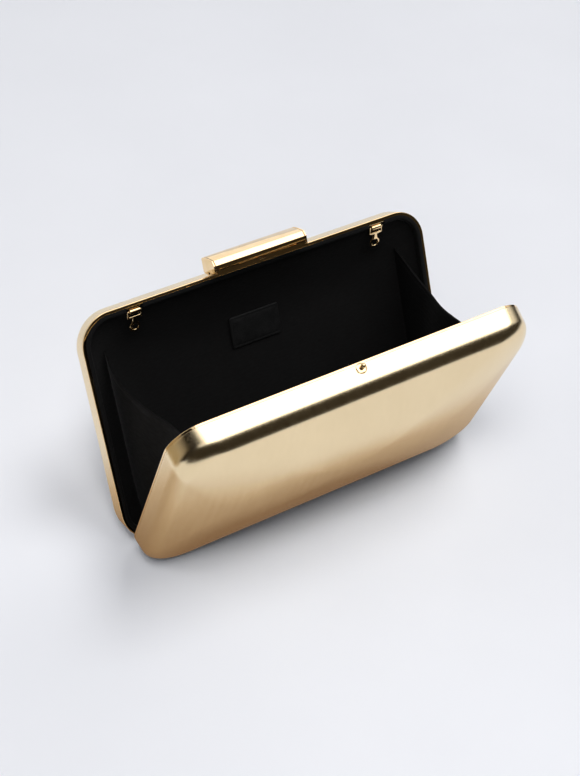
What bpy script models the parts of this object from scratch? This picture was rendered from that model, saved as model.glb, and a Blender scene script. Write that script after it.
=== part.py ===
"""Hard-shell evening clutch, standing open on its two lower edges.

Lengths are in metres, +Z is up and +X is to the right of someone facing the front shell.
Each half is drawn upright in its own frame, hinge line along X at the origin: Y is the
depth away from the rim plane and Z the height above the hinge. Two empties then lean the
halves apart about the hinge, and the origin of the world lies on the floor under it.
"""
import bpy
import bmesh
from math import asin, atan, cos, pi, radians, sin
from mathutils import Matrix, Vector

# Case outline and opening
case_width = 0.192
case_height = 0.117
corner_radius = 0.016
opening_angle = radians(43.75)
closed_gap = 0.0006
clearance = 0.0003

# Drafts are slopes: how much an outline draws in for each metre of depth
side_draft_share = 0.02
top_draft_share = 0.10
bottom_draft_share = 0.02
corner_growth_share = 0.14

# Outer shells
shell_depth = 0.0255
shell_thickness = 0.0015
wall_depth_share = 0.31373
edge_radius_share = 0.32549
edge_sweep = radians(72)
dome_power = 1.85
dome_ring_shares = (0.22, 0.46, 0.7, 0.88)

# Rim frames
lip_depth = 0.0012
lip_chamfer = 0.0003
leg_thickness = 0.0008
leg_end_setback = 0.0007

# Linings
liner_thickness = 0.001
liner_setback = 0.0007
liner_wall_share = 0.15686
liner_depth_share = 0.66667
floor_height = 0.0412
floor_corner_share = 0.945
bowl_ring_shares = (0.12, 0.28, 0.5, 0.75, 1.0)

# Hinge
hinge_end_setback = 0.033
knuckle_count = 7
knuckle_radius = 0.0014
hinge_pin_radius = 0.00065
running_gap = 0.0001

# Clasp bar
bar_length = 0.0516
bar_front = 0.0062
bar_back = 0.0062
bar_height = 0.0083
bar_crown = 0.0003
bar_chamfer_run = 0.0016
bar_chamfer_drop = 0.0023
bar_wall = 0.0008
cap_thickness = 0.0008
cap_skirt_lift = 0.0004
lever_lift = 0.0018
lever_thickness = 0.0015
lever_setback = 0.0001
barrel_radius = 0.0013
clasp_pin_radius = 0.00055
clasp_pivot_depth = 0.0042
ear_width = 0.003
ear_end_setback = 0.0063
catch_slot_width = 0.0032
spring_window_width = 0.0114

# Clasp base
base_end_setback = 0.0023
base_front = 0.001
base_back = 0.0076
base_lift = 0.001
rivet_place = 0.01
rivet_head_radius = 0.0014
rivet_head_thickness = 0.00045
rivet_shank_radius = 0.0007

# Clasp spring
spring_radius = 0.00105
spring_wire_radius = 0.00025
spring_turns = 8
spring_length = 0.009
spring_leg = 0.0012

# Ball stud
stud_depth = 0.00355
washer_radius = 0.0024
washer_thickness = 0.0004
collar_radius = 0.0011
collar_thickness = 0.00025
neck_radius = 0.0006
neck_length = 0.0004
ball_radius = 0.00115

# Strap tabs and their clips
tab_left_setback = 0.0295
tab_right_setback = 0.0263
tab_pivot_depth = 0.0019
clip_width = 0.0054
clip_thickness = 0.0005
clip_curl_radius = 0.0014
clip_bore_radius = 0.00085
clip_end_setback = 0.0003
tab_thickness = 0.0009
tab_bar_width = 0.001
tab_loop_width = 0.0078
tab_loop_height = 0.0044
tab_neck_width = 0.0032
tab_shoulder_drop = 0.0004
tab_eye_drop = 0.0092
tab_eye_radius = 0.0029
tab_eye_hole_radius = 0.0016
tab_rivet_setback = 0.0021
tab_rivet_head_radius = 0.0011

# Label patch
label_width = 0.028
label_height = 0.0165
label_thickness = 0.0008
label_top_setback = 0.0372

# Side gussets
gusset_thickness = 0.0008
gusset_side_setback = 0.0134
gusset_low = 0.012
gusset_top_setback = 0.0207
gusset_sag = 0.0068
gusset_sag_shift = 0.0102
gusset_fold = 0.0021
gusset_fold_shift = 0.0141

# Modelling values
overrun = 0.002
weld_distance = 0.00001
crease_angle = radians(32)

# Facet counts
corner_steps = 5
long_steps = 5
short_steps = 3
edge_steps = 4
round_steps = 20
fine_steps = 16
gusset_steps = 8
ball_steps = 6
spring_turn_points = 8
halving_steps = 24

# Derived sizes
lean = opening_angle / 2
wall_depth = shell_depth * wall_depth_share
edge_radius = shell_depth * edge_radius_share
leg_depth = wall_depth - leg_end_setback
liner_wall_depth = shell_depth * liner_wall_share
liner_depth = shell_depth * liner_depth_share
rim_depth = closed_gap / 2
shell_start = rim_depth + lip_depth + clearance
leg_inset = shell_thickness + clearance
lip_inset = leg_inset + leg_thickness
liner_inset = lip_inset + clearance
draft_depth_share = top_draft_share + bottom_draft_share
bowl_width = (case_height - draft_depth_share * liner_depth - floor_height) / 2 - liner_inset
rim_radius = corner_radius + corner_growth_share * liner_wall_depth - liner_inset
floor_radius = floor_corner_share * floor_height / 2
hinge_length = case_width - 2 * hinge_end_setback
clip_tail_depth = leg_depth - clip_end_setback
tab_rivet_depth = leg_depth - tab_rivet_setback
label_middle = case_height - label_top_setback
gusset_place = case_width / 2 - gusset_side_setback
gusset_high = case_height - gusset_top_setback
lever_top = lever_lift + lever_thickness
cover_bottom = lever_top + clearance
pivot_lift = base_lift + clearance + barrel_radius
pivot_height = case_height + pivot_lift
cover_length = bar_length - 2 * (cap_thickness + clearance)
base_length = bar_length - 2 * base_end_setback
ear_place = bar_length / 2 - ear_end_setback
tab_pivot_inset = liner_inset + clip_curl_radius
draft_angle = atan(top_draft_share)


def edge_places():
    """Give the depth and inset of each ring round a shell's rounded edge."""
    places = []
    for step in range(edge_steps + 1):
        angle = edge_sweep * step / edge_steps
        places.append((wall_depth + edge_radius * sin(angle), edge_radius * (1 - cos(angle))))
    return places


def floor_drop(depth, inset):
    """Give how far below the hinge the bottom of a leaning shell's ring reaches."""
    return depth * sin(lean) - (bottom_draft_share * depth + inset) * cos(lean)


hinge_height = max(floor_drop(depth, inset) for depth, inset in edge_places())


def clear_scene():
    """Empty the file so that only the clutch is left."""
    for obj in list(bpy.data.objects):
        bpy.data.objects.remove(obj, do_unlink=True)


def collection(name):
    """Make a collection in the scene."""
    group = bpy.data.collections.new(name)
    bpy.context.scene.collection.children.link(group)
    return group


def material(name, colour, roughness, metallic):
    """Make a plain surface finish."""
    finish = bpy.data.materials.new(name)
    finish.use_nodes = True
    shader = finish.node_tree.nodes["Principled BSDF"]
    shader.inputs["Base Color"].default_value = (*colour, 1.0)
    shader.inputs["Roughness"].default_value = roughness
    shader.inputs["Metallic"].default_value = metallic
    return finish


clear_scene()
parts = collection("clutch")
cutters = collection("cutters")
shell_gold = material("shell_gold", (0.66, 0.52, 0.33), 0.32, 0.85)
polished_gold = material("polished_gold", (0.86, 0.62, 0.31), 0.18, 1.0)
spring_steel = material("spring_steel", (0.55, 0.55, 0.56), 0.3, 1.0)
lining_black = material("lining_black", (0.012, 0.012, 0.013), 0.85, 0.0)
gusset_black = material("gusset_black", (0.016, 0.016, 0.018), 0.9, 0.0)
label_black = material("label_black", (0.008, 0.008, 0.008), 0.5, 0.0)


def half_empty(name, tilt):
    """Make the empty on the hinge line that carries one half of the case."""
    empty = bpy.data.objects.new(name, None)
    parts.objects.link(empty)
    empty.location = (0, 0, hinge_height)
    empty.rotation_euler = (tilt, 0, 0)
    return empty


rear_half = half_empty("rear_half", -lean)
front_half = half_empty("front_half", lean)


def keep(obj, name, finish, parent):
    """Name a finished sub-part, give it its finish and hang it on its half."""
    obj.name = name
    obj.data.name = name
    obj.data.materials.clear()
    obj.data.materials.append(finish)
    obj.parent = parent
    move_to(obj, parts)
    if obj.type == "MESH":
        obj.data.shade_smooth()
        obj.data.set_sharp_from_angle(angle=crease_angle)
    return obj


def move_to(obj, group):
    """Leave an object in one collection only."""
    for other in list(obj.users_collection):
        other.objects.unlink(obj)
    group.objects.link(obj)


def tool(obj, name, parent):
    """Set an object aside as a cutter or a piece to be joined."""
    obj.name = name
    obj.parent = parent
    obj.hide_render = True
    obj.display_type = "WIRE"
    move_to(obj, cutters)
    return obj


def boolean(obj, other, operation):
    """Cut an object with another, or join the other to it."""
    modifier = obj.modifiers.new(other.name, "BOOLEAN")
    modifier.object = other
    modifier.operation = operation
    modifier.solver = "EXACT"


def mesh_object(name, bm):
    """Turn a bmesh into an object."""
    mesh = bpy.data.meshes.new(name)
    bm.to_mesh(mesh)
    bm.free()
    obj = bpy.data.objects.new(name, mesh)
    parts.objects.link(obj)
    return obj


def box(low, high):
    """Make a box between two corners."""
    bpy.ops.mesh.primitive_cube_add(size=1)
    obj = bpy.context.object
    size = Vector(high) - Vector(low)
    middle = (Vector(high) + Vector(low)) / 2
    for vertex in obj.data.vertices:
        vertex.co = Vector(vertex.co) * size + middle
    return obj


def rod(radius, start, end, depth, height, steps):
    """Make a cylinder along X, from start to end, at a depth and a height."""
    bpy.ops.mesh.primitive_cylinder_add(vertices=steps, radius=radius, depth=end - start)
    obj = bpy.context.object
    half_step = Matrix.Rotation(pi / steps, 3, "Z")
    for vertex in obj.data.vertices:
        across, up, along = half_step @ vertex.co
        vertex.co = (along + (start + end) / 2, across + depth, up + height)
    bm = bmesh.new()
    bm.from_mesh(obj.data)
    bmesh.ops.recalc_face_normals(bm, faces=bm.faces)
    bm.to_mesh(obj.data)
    bm.free()
    return obj


def turned(name, profile, steps, closed=False):
    """Turn a profile of (radius, height) points, from top to bottom, about Z."""
    mesh = bpy.data.meshes.new(name)
    points = [(radius, 0, height) for radius, height in profile]
    edges = [(index, index + 1) for index in range(len(points) - 1)]
    if closed:
        edges.append((len(points) - 1, 0))
    mesh.from_pydata(points, edges, [])
    obj = bpy.data.objects.new(name, mesh)
    parts.objects.link(obj)
    screw = obj.modifiers.new("turn", "SCREW")
    screw.axis = "Z"
    screw.steps = steps
    screw.render_steps = steps
    screw.use_merge_vertices = True
    screw.merge_threshold = weld_distance
    screw.use_smooth_shade = True
    return obj


def flat_curve(name, outlines, thickness):
    """Fill flat outlines, the later ones as holes, and give them a thickness."""
    curve = bpy.data.curves.new(name, "CURVE")
    curve.dimensions = "2D"
    curve.fill_mode = "BOTH"
    curve.extrude = thickness / 2
    for outline_points in outlines:
        spline = curve.splines.new("POLY")
        spline.points.add(len(outline_points) - 1)
        for point, (across, up) in zip(spline.points, outline_points):
            point.co = (across, up, 0, 1)
        spline.use_cyclic_u = True
    obj = bpy.data.objects.new(name, curve)
    parts.objects.link(obj)
    return obj


def as_mesh(obj):
    """Replace a curve object by its mesh, with its caps welded."""
    bpy.context.view_layer.update()
    source = obj.evaluated_get(bpy.context.evaluated_depsgraph_get())
    mesh = bpy.data.meshes.new_from_object(source)
    bm = bmesh.new()
    bm.from_mesh(mesh)
    bmesh.ops.remove_doubles(bm, verts=bm.verts, dist=weld_distance)
    bmesh.ops.recalc_face_normals(bm, faces=bm.faces)
    bm.to_mesh(mesh)
    bm.free()
    result = bpy.data.objects.new(obj.name, mesh)
    parts.objects.link(result)
    result.matrix_world = obj.matrix_world
    bpy.data.objects.remove(obj, do_unlink=True)
    return result


def along_x(obj, place):
    """Stand a flat outline of (depth, height) points upright, across the case."""
    obj.rotation_euler = (pi / 2, 0, pi / 2)
    obj.location = place
    return obj


def bar_piece(name, outlines, length, x=0):
    """Make a piece of the clasp from outlines of (depth, height above the case) points."""
    return as_mesh(along_x(flat_curve(name, outlines, length), (x, 0, case_height)))


def arc(radius, across, up, start, end, steps):
    """Give the points of an arc between two angles."""
    angles = [start + (end - start) * step / steps for step in range(steps + 1)]
    return [(across + radius * cos(a), up + radius * sin(a)) for a in angles]


def circle(radius, across, up, steps):
    """Give the points of a circle."""
    return arc(radius, across, up, 0, 2 * pi, steps)[:-1]


def outline(depth, inset, radius):
    """Give the points (x, height) of the rounded outline at a depth and an inset."""
    half = case_width / 2 - side_draft_share * depth - inset
    top = case_height - top_draft_share * depth - inset
    bottom = bottom_draft_share * depth + inset
    centres = (
        (half - radius, top - radius, long_steps),
        (radius - half, top - radius, short_steps),
        (radius - half, bottom + radius, long_steps),
        (half - radius, bottom + radius, short_steps),
    )
    arcs = []
    for quarter, (x, height, _) in enumerate(centres):
        start = quarter * pi / 2
        arcs.append(arc(radius, x, height, start, start + pi / 2, corner_steps))
    points = []
    for index, corner in enumerate(arcs):
        points.extend(corner)
        start = Vector(corner[-1])
        end = Vector(arcs[(index + 1) % len(arcs)][0])
        steps = centres[index][2]
        points.extend(tuple(start.lerp(end, step / steps)) for step in range(1, steps))
    return points


def ring(side, depth, inset, radius):
    """Give an outline's points in a half's frame; side is 1 at the rear, -1 in front."""
    return [(x, side * depth, height) for x, height in outline(depth, inset, radius)]


def loft(rings, round_again=False):
    """Skin a row of rings, then back to the first one for a frame, or close the last one."""
    bm = bmesh.new()
    rows = [[bm.verts.new(point) for point in points] for points in rings]
    pairs = list(zip(rows, rows[1:]))
    if round_again:
        pairs.append((rows[-1], rows[0]))
    for low, high in pairs:
        for index in range(len(low)):
            after = (index + 1) % len(low)
            bm.faces.new((low[index], low[after], high[after], high[index]))
    if round_again:
        bmesh.ops.recalc_face_normals(bm, faces=bm.faces)
    else:
        last = rows[-1]
        middle = sum((vertex.co for vertex in last), Vector()) / len(last)
        centre = bm.verts.new(middle)
        for index in range(len(last)):
            bm.faces.new((last[index], last[(index + 1) % len(last)], centre))
    return bm


def bowl_object(name, rings, side, thickness):
    """Make a bowl of even thickness; the rings give its outer face, rim first."""
    bm = loft(rings)
    bm.normal_update()
    bm.faces.ensure_lookup_table()
    if bm.faces[-1].normal.y * side < 0:
        bmesh.ops.reverse_faces(bm, faces=bm.faces)
    obj = mesh_object(name, bm)
    solidify = obj.modifiers.new("thickness", "SOLIDIFY")
    solidify.thickness = thickness
    solidify.offset = -1
    return obj


def shell_radius(depth):
    """Give the corner radius of a shell's outline, which grows with the depth."""
    return corner_radius + corner_growth_share * depth


def shell_rings(side):
    """Give the rings of a shell: straight wall, rounded edge and domed face."""
    rings = [ring(side, shell_start, 0, shell_radius(shell_start))]
    for depth, inset in edge_places():
        rings.append(ring(side, depth, inset, shell_radius(depth)))
    edge_end_depth, edge_end_inset = edge_places()[-1]
    border = outline(edge_end_depth, edge_end_inset, shell_radius(edge_end_depth))
    half_span = max(x for x, _ in border)
    top = max(height for _, height in border)
    bottom = min(height for _, height in border)
    middle = (top + bottom) / 2
    rise = (top - bottom) / 2
    for share in dome_ring_shares:
        depth = shell_depth - (shell_depth - edge_end_depth) * (1 - share) ** dome_power
        points = []
        for x, height in border:
            ray = Vector((x / half_span, (height - middle) / rise))
            round_point = ray.normalized()
            point = ray.lerp(round_point, share) * (1 - share)
            points.append((point.x * half_span, side * depth, middle + point.y * rise))
        rings.append(points)
    return rings


def frame_section():
    """Give the rim frame's section as (inset, depth) points: a lip and an inner leg."""
    lip_end = rim_depth + lip_depth
    return (
        (lip_chamfer, rim_depth),
        (lip_inset - lip_chamfer, rim_depth),
        (lip_inset, rim_depth + lip_chamfer),
        (lip_inset, leg_depth),
        (leg_inset, leg_depth),
        (leg_inset, lip_end),
        (0, lip_end),
        (0, rim_depth + lip_chamfer),
    )


def knuckle_spans(first):
    """Give the X spans of every second knuckle of the hinge, from the first or second."""
    pitch = hinge_length / knuckle_count
    spans = []
    for index in range(first, knuckle_count, 2):
        start = index * pitch - hinge_length / 2
        spans.append((start + clearance / 2, start + pitch - clearance / 2))
    return spans


def rim_frame(name, side, parent, own, other):
    """Make a rim frame with its own hinge knuckles and room for the other frame's."""
    rings = [ring(side, depth, inset, shell_radius(depth) - inset) for inset, depth in frame_section()]
    frame = mesh_object(name, loft(rings, round_again=True))
    room_radius = knuckle_radius + clearance
    for index, (start, end) in enumerate(other):
        room = rod(room_radius, start - clearance, end + clearance, 0, 0, round_steps)
        boolean(frame, tool(room, f"{name}_room_{index}", parent), "DIFFERENCE")
    for index, (start, end) in enumerate(own):
        knuckle = rod(knuckle_radius, start, end, 0, 0, round_steps)
        boolean(frame, tool(knuckle, f"{name}_knuckle_{index}", parent), "UNION")
    reach = hinge_length / 2 + overrun
    bore = rod(hinge_pin_radius + running_gap, -reach, reach, 0, 0, fine_steps)
    boolean(frame, tool(bore, f"{name}_bore", parent), "DIFFERENCE")
    return keep(frame, name, polished_gold, parent)


def liner_rings(side):
    """Give the rings of a lining's outer face: a short wall, then a shallow bowl."""
    rings = []
    for depth in (rim_depth + liner_setback, liner_wall_depth):
        rings.append(ring(side, depth, liner_inset, shell_radius(depth) - liner_inset))
    for share in bowl_ring_shares:
        inset = liner_inset + bowl_width * share
        rings.append(ring(side, bowl_depth(share), inset, liner_radius(share)))
    return rings


def liner_radius(share):
    """Give the corner radius of a lining's outline at a share of the bowl's width."""
    return rim_radius + (floor_radius - rim_radius) * share


def bowl_depth(share):
    """Give the depth of a lining's outer face at a share of the bowl's width."""
    return liner_wall_depth + (liner_depth - liner_wall_depth) * (1 - (1 - share) ** 2)


def wall_top(depth):
    """Give the height of the outer face of a shell's top wall at a depth."""
    return case_height - top_draft_share * depth


def upright_hole(obj, name, radius, x, depth, parent):
    """Drill an upright hole through the top wall of an object."""
    reach = liner_inset + overrun
    bpy.ops.mesh.primitive_cylinder_add(vertices=fine_steps, radius=radius, depth=2 * reach)
    drill = bpy.context.object
    drill.location = (x, depth, wall_top(abs(depth)))
    boolean(obj, tool(drill, name, parent), "DIFFERENCE")


def make_case_half(word, side, parent, own, other):
    """Make the shell, rim frame and lining of one half."""
    shell = bowl_object(f"{word}_shell", shell_rings(side), side, shell_thickness)
    keep(shell, f"{word}_shell", shell_gold, parent)
    frame = rim_frame(f"{word}_rim_frame", side, parent, own, other)
    liner = bowl_object(f"{word}_liner", liner_rings(side), side, liner_thickness)
    keep(liner, f"{word}_liner", lining_black, parent)
    return shell, frame, liner


rear_own = knuckle_spans(0)
front_own = knuckle_spans(1)
rear_shell, rear_frame, rear_liner = make_case_half("rear", 1, rear_half, rear_own, front_own)
front_shell, front_frame, front_liner = make_case_half("front", -1, front_half, front_own, rear_own)


def make_hinge_pin():
    """Make the pin that runs through every knuckle."""
    reach = hinge_length / 2
    pin = rod(hinge_pin_radius, -reach, reach, 0, 0, fine_steps)
    keep(pin, "hinge_pin", polished_gold, rear_half)


def bar_outline(inset):
    """Give the clasp bar's (depth, height) points, up the front and down the back."""
    front = inset - bar_front
    back = bar_back - inset
    top = bar_height - inset
    points = [(front, top - bar_chamfer_drop), (front + bar_chamfer_run, top)]
    start, end = front + bar_chamfer_run, back - bar_wall
    for step in range(1, edge_steps):
        share = step / edge_steps
        points.append((start + (end - start) * share, top + bar_crown * sin(pi * share)))
    points.append((end, top))
    points.append((back, top - bar_wall))
    return points


def make_clasp_cover():
    """Make the faceted cover of the clasp bar, hollow underneath."""
    outer = [(-bar_front, cover_bottom), *bar_outline(0), (bar_back, cover_bottom)]
    inner = [
        (bar_wall - bar_front, cover_bottom),
        *bar_outline(bar_wall),
        (bar_back - bar_wall, cover_bottom),
    ]
    cover = bar_piece("clasp_cover", [outer + inner[::-1]], cover_length)
    keep(cover, "clasp_cover", polished_gold, rear_half)


def make_clasp_caps():
    """Make the two end plates of the clasp bar, with a skirt over the rear wall."""
    skirt_back = bar_back - bar_wall
    shape = [
        (-bar_front, lever_lift),
        *bar_outline(0),
        (bar_back, lever_lift - bar_wall),
        (skirt_back, cap_skirt_lift),
        (base_front, cap_skirt_lift),
        (base_front, lever_lift),
    ]
    for word, side in (("left", -1), ("right", 1)):
        x = side * (bar_length - cap_thickness) / 2
        cap = bar_piece(f"clasp_cap_{word}", [shape], cap_thickness, x)
        keep(cap, f"clasp_cap_{word}", polished_gold, rear_half)


def make_clasp_lever():
    """Make the lever plate under the cover, with its barrels and the slot for the ball."""
    front = lever_setback - bar_front
    low_join = pi - asin((lever_lift - pivot_lift) / barrel_radius)
    high_join = 3 * pi - asin((lever_top - pivot_lift) / barrel_radius)
    barrel = arc(barrel_radius, clasp_pivot_depth, pivot_lift, low_join, high_join, round_steps)
    shape = [(front, lever_top), (front, lever_lift), *barrel]
    lever = bar_piece("clasp_lever", [shape, pin_hole()], cover_length)
    window_front = clasp_pivot_depth - barrel_radius - clearance
    window_low = case_height
    window_high = case_height + bar_height
    spans = [(side * ear_place, ear_width + 2 * clearance) for side in (-1, 1)]
    spans.append((0, spring_window_width))
    for index, (middle, width) in enumerate(spans):
        window = box(
            (middle - width / 2, window_front, window_low),
            (middle + width / 2, bar_back + overrun, window_high),
        )
        boolean(lever, tool(window, f"lever_window_{index}", rear_half), "DIFFERENCE")
    slot_half = catch_slot_width / 2
    slot_shape = [(-slot_half, -bar_front - overrun), (slot_half, -bar_front - overrun)]
    slot_shape.extend(arc(slot_half, 0, -stud_depth, 0, pi, fine_steps))
    slot = flat_curve("lever_slot", [slot_shape], bar_height)
    slot.location = (0, 0, (window_low + window_high) / 2)
    boolean(lever, tool(as_mesh(slot), "lever_slot", rear_half), "DIFFERENCE")
    keep(lever, "clasp_lever", polished_gold, rear_half)


def pin_hole():
    """Give the outline of the bore for the clasp's pin."""
    return circle(clasp_pin_radius + running_gap, clasp_pivot_depth, pivot_lift, fine_steps)


def make_clasp_base():
    """Make the base that follows the sloping wall, with two ears for the pin."""
    seat_front = clearance - top_draft_share * base_front
    seat_back = clearance - top_draft_share * base_back
    shape = [
        (base_front, seat_front),
        (base_back, seat_back),
        (base_back, base_lift),
        (base_front, base_lift),
    ]
    base = bar_piece("clasp_base", [shape], base_length)
    ear_shape = arc(barrel_radius, clasp_pivot_depth, pivot_lift, 0, pi, fine_steps)
    ear_shape.append((clasp_pivot_depth - barrel_radius, base_lift / 2))
    ear_shape.append((clasp_pivot_depth + barrel_radius, base_lift / 2))
    for word, side in (("left", -1), ("right", 1)):
        ear = bar_piece(f"base_ear_{word}", [ear_shape, pin_hole()], ear_width, side * ear_place)
        boolean(base, tool(ear, f"base_ear_{word}", rear_half), "UNION")
    for word, side in (("left", -1), ("right", 1)):
        x = side * rivet_place
        hole = rivet_shank_radius + clearance
        upright_hole(base, f"base_hole_{word}", hole, x, clasp_pivot_depth, rear_half)
        depth = rivet_head_thickness + clearance + overrun
        radius = rivet_head_radius + clearance
        bpy.ops.mesh.primitive_cylinder_add(vertices=fine_steps, radius=radius, depth=depth)
        sink = bpy.context.object
        sink_floor = base_lift - rivet_head_thickness - clearance
        sink.location = (x, clasp_pivot_depth, case_height + sink_floor + depth / 2)
        boolean(base, tool(sink, f"base_sink_{word}", rear_half), "DIFFERENCE")
    keep(base, "clasp_base", polished_gold, rear_half)


def make_clasp_rivets():
    """Make the two flush rivets that hold the base on the shell and the frame."""
    wall = wall_top(clasp_pivot_depth) - case_height
    shank_end = wall - lip_inset
    for word, side in (("left", -1), ("right", 1)):
        profile = [
            (0, base_lift),
            (rivet_head_radius, base_lift),
            (rivet_head_radius, base_lift - rivet_head_thickness),
            (rivet_shank_radius, base_lift - rivet_head_thickness),
            (rivet_shank_radius, shank_end),
            (0, shank_end),
        ]
        rivet = turned(f"clasp_rivet_{word}", profile, fine_steps)
        x = side * rivet_place
        rivet.location = (x, clasp_pivot_depth, case_height)
        keep(rivet, f"clasp_rivet_{word}", polished_gold, rear_half)
        hole = rivet_shank_radius + clearance
        upright_hole(rear_shell, f"rear_shell_hole_{word}", hole, x, clasp_pivot_depth, rear_half)
        upright_hole(rear_frame, f"rear_frame_hole_{word}", hole, x, clasp_pivot_depth, rear_half)


def make_clasp_pin():
    """Make the pin on which the clasp bar lifts."""
    half = cover_length / 2
    pin = rod(clasp_pin_radius, -half, half, clasp_pivot_depth, pivot_height, fine_steps)
    keep(pin, "clasp_pin", polished_gold, rear_half)


def make_clasp_spring():
    """Make the coil spring on the clasp's pin, with a short leg forward over the base."""
    count = spring_turns * spring_turn_points
    points = [(-spring_length / 2, -spring_leg, -spring_radius)]
    for index in range(count + 1):
        angle = 2 * pi * index / spring_turn_points - pi / 2
        along = spring_length * (index / count - 0.5)
        points.append((along, spring_radius * cos(angle), spring_radius * sin(angle)))
    curve = bpy.data.curves.new("clasp_spring", "CURVE")
    curve.dimensions = "3D"
    curve.bevel_depth = spring_wire_radius
    curve.bevel_resolution = 0
    curve.use_fill_caps = True
    spline = curve.splines.new("POLY")
    spline.points.add(len(points) - 1)
    for point, place in zip(spline.points, points):
        point.co = (*place, 1)
    spring = bpy.data.objects.new("clasp_spring", curve)
    spring.location = (0, clasp_pivot_depth, pivot_height)
    keep(spring, "clasp_spring", spring_steel, rear_half)


def make_stud():
    """Make the ball stud and its washer on the front shell's top wall."""
    seat = clearance
    washer_top = seat + washer_thickness
    collar_top = washer_top + clearance / 2 + collar_thickness
    ball_middle = collar_top + neck_length + ball_radius
    hole = neck_radius + clearance
    washer = turned(
        "stud_washer",
        [
            (hole, washer_top),
            (washer_radius - washer_thickness / 2, washer_top),
            (washer_radius, seat + washer_thickness / 2),
            (washer_radius, seat),
            (hole, seat),
        ],
        round_steps,
        closed=True,
    )
    ball = []
    for step in range(ball_steps):
        angle = pi / 2 - step * (pi / 2 + pi / 4) / ball_steps
        ball.append((ball_radius * cos(angle), ball_middle + ball_radius * sin(angle)))
    profile = [
        *ball,
        (neck_radius, collar_top + neck_length / 2),
        (neck_radius, collar_top),
        (collar_radius, collar_top),
        (collar_radius, washer_top + clearance / 2),
        (neck_radius, washer_top + clearance / 2),
        (neck_radius, -lip_inset),
        (0, -lip_inset),
    ]
    stud = turned("ball_stud", profile, fine_steps)
    for obj, name in ((washer, "stud_washer"), (stud, "ball_stud")):
        obj.location = (0, -stud_depth, wall_top(stud_depth))
        obj.rotation_euler = (draft_angle, 0, 0)
        keep(obj, name, polished_gold, front_half)
    upright_hole(front_shell, "front_shell_hole", hole, 0, -stud_depth, front_half)
    upright_hole(front_frame, "front_frame_hole", hole, 0, -stud_depth, front_half)


def make_tab_clip(word, x):
    """Make the clip that carries a strap tab: a curl on a tail under the frame's leg."""
    top = clip_curl_radius
    low = clip_curl_radius - clip_thickness
    tail = clip_tail_depth - tab_pivot_depth
    start = pi / 2
    sweep = 2 * pi - pi / 3
    curl = arc(clip_curl_radius, 0, 0, start, start + sweep, round_steps)
    join = curl[-1]
    shape = [(tail, top), *curl, (max(join[0], clip_curl_radius), low), (tail, low)]
    bore = circle(clip_bore_radius, 0, 0, fine_steps)
    clip = along_x(flat_curve(f"tab_clip_{word}", [shape, bore], clip_width), (0, 0, 0))
    clip = as_mesh(clip)
    place_on_wall(clip, x)
    keep(clip, f"tab_clip_{word}", polished_gold, rear_half)
    drill_depth = tab_rivet_depth - tab_pivot_depth
    radius = rivet_shank_radius + running_gap
    bpy.ops.mesh.primitive_cylinder_add(vertices=fine_steps, radius=radius, depth=overrun)
    drill = bpy.context.object
    drill.location = (drill_depth, (top + low) / 2, 0)
    drill.rotation_euler = (pi / 2, 0, 0)
    tool(drill, f"tab_clip_drill_{word}", clip)
    boolean(clip, drill, "DIFFERENCE")


def place_on_wall(obj, x):
    """Put an object on a strap tab's pivot, turned with the slope of the top wall."""
    turn = Matrix.Rotation(-draft_angle, 3, "X") @ obj.rotation_euler.to_matrix()
    obj.rotation_euler = turn.to_euler()
    obj.location = (x, tab_pivot_depth, tab_pivot_height())


def tab_pivot_height():
    """Give the height of the strap tabs' pivots above the hinge."""
    return wall_top(tab_pivot_depth) - tab_pivot_inset


def make_tab_rivet(word, x):
    """Make the rivet that holds a clip's tail to the rim frame's leg."""
    head_top = clip_curl_radius - clip_thickness - clearance
    head_low = head_top - clip_thickness
    shank_top = tab_pivot_inset - leg_inset
    profile = [
        (0, shank_top),
        (rivet_shank_radius, shank_top),
        (rivet_shank_radius, head_top),
        (tab_rivet_head_radius, head_top),
        (tab_rivet_head_radius, head_top - clip_thickness / 2),
        (tab_rivet_head_radius / 2, head_low),
        (0, head_low),
    ]
    rivet = turned(f"tab_rivet_{word}", profile, fine_steps)
    place_on_wall(rivet, x)
    reach = tab_rivet_depth - tab_pivot_depth
    step_back = Vector((0, reach * cos(draft_angle), -reach * sin(draft_angle)))
    rivet.location = Vector(rivet.location) + step_back
    keep(rivet, f"tab_rivet_{word}", polished_gold, rear_half)
    hole = rivet_shank_radius + clearance
    through = leg_thickness + 2 * clearance
    bpy.ops.mesh.primitive_cylinder_add(vertices=fine_steps, radius=hole, depth=through)
    drill = bpy.context.object
    drill.rotation_euler = (-draft_angle, 0, 0)
    height = wall_top(tab_rivet_depth) - leg_inset - leg_thickness / 2
    drill.location = (x, rivet.location.y, height)
    boolean(rear_frame, tool(drill, f"rear_frame_tab_hole_{word}", rear_half), "DIFFERENCE")


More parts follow.
